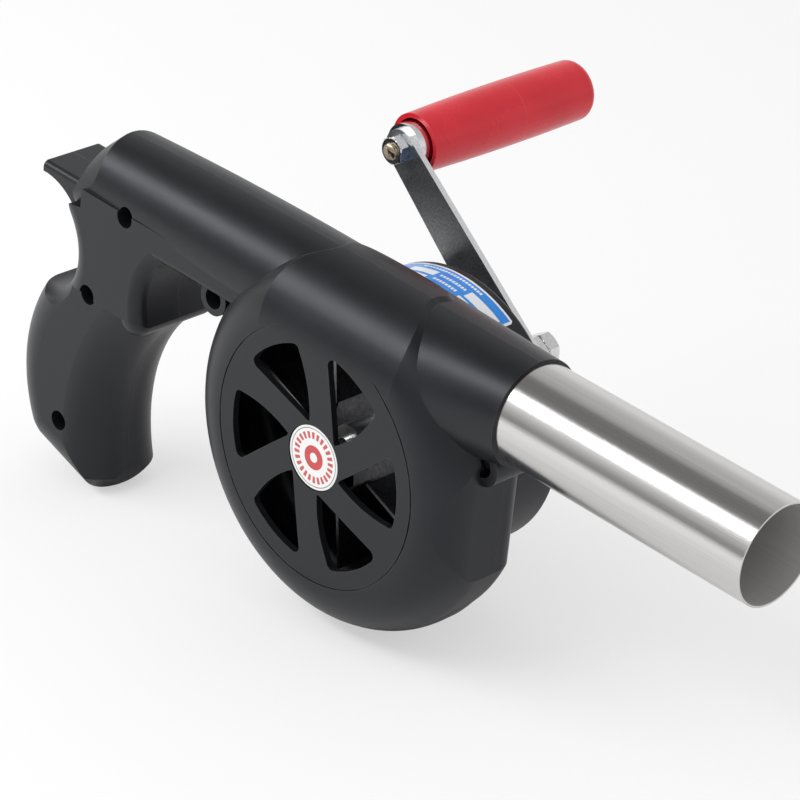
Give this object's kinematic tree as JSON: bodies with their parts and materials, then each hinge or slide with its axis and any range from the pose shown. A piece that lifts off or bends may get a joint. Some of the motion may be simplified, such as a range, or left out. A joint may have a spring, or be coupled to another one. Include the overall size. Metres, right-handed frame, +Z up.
{
  "type": "hand cranked barbecue blower",
  "caption": "Hand cranked barbecue blower with a pistol grip, round fan housing behind an air grille, steel air tube and a red turning handle.",
  "frame": {"origin": "centre of the bounding box's footprint, on the table the blower stands on", "axes": "+X from the grip toward the end of the air tube, +Y from the air grille toward the crank, +Z up; the tube points slightly down because the blower rests on its grip and fan housing"},
  "size_m": [0.313, 0.1508, 0.1398],
  "materials": {
    "casing_plastic": "fine textured, satin",
    "tube_steel": "brushed along the tube",
    "sticker": "smooth vinyl",
    "label": "smooth vinyl",
    "screw_steel": "plated",
    "zinc_sheet": "zinc plated sheet",
    "brass_hub": "turned",
    "shaft_steel": "ground",
    "gear_steel": "machined",
    "bush_bronze": "sintered",
    "nut_chrome": "bright plated",
    "thread_brass": "yellow plated",
    "arm_zinc": "zinc plated, satin",
    "handle_red": "satin"
  },
  "bodies": {
    "casing": {"near_shell": "casing_plastic", "far_shell": "casing_plastic", "air_tube": "tube_steel", "hub_sticker": "sticker", "drum_label": "label", "shell_screws": "screw_steel", "frame_near_plate": "zinc_sheet", "frame_far_plate": "zinc_sheet", "frame_posts": "shaft_steel", "frame_nuts": "nut_chrome", "frame_screws": "screw_steel", "fan_bushes": "bush_bronze", "crank_bush": "bush_bronze"},
    "fan": {"impeller": "zinc_sheet", "impeller_hub": "brass_hub", "fan_shaft": "shaft_steel", "fan_pinion": "gear_steel"},
    "idler": {"idler_wheel": "gear_steel", "idler_pinion": "gear_steel", "idler_shaft": "shaft_steel"},
    "crank": {"crank_wheel": "gear_steel", "crank_axle": "thread_brass", "axle_spacer": "shaft_steel", "crank_arm": "arm_zinc", "crank_washer": "nut_chrome", "crank_nut": "nut_chrome", "handle_bolt": "thread_brass", "handle_nut": "nut_chrome", "handle_bush": "nut_chrome", "handle_clip": "shaft_steel"},
    "handle": {"handle_grip": "handle_red"}
  },
  "joints": [
    {"name": "crank_spin", "type": "hinge", "parent": "casing", "child": "crank", "pos_m": [0.01079, -0.01145, 0.07671], "axis": [0, 1, 0], "continuous": true},
    {"name": "idler_spin", "type": "hinge", "parent": "casing", "child": "idler", "pos_m": [-0.00877, -0.03645, 0.08087], "axis": [0, 1, 0], "continuous": true},
    {"name": "fan_spin", "type": "hinge", "parent": "casing", "child": "fan", "pos_m": [-0.00349, -0.04645, 0.06158], "axis": [0, 1, 0], "continuous": true},
    {"name": "handle_spin", "type": "hinge", "parent": "crank", "child": "handle", "pos_m": [-0.0431, 0.03855, 0.12944], "axis": [0, 1, 0], "continuous": true}
  ],
  "couplings": [
    {"joint": "idler_spin", "follows": "crank_spin", "ratio": -3},
    {"joint": "fan_spin", "follows": "crank_spin", "ratio": 9}
  ]
}
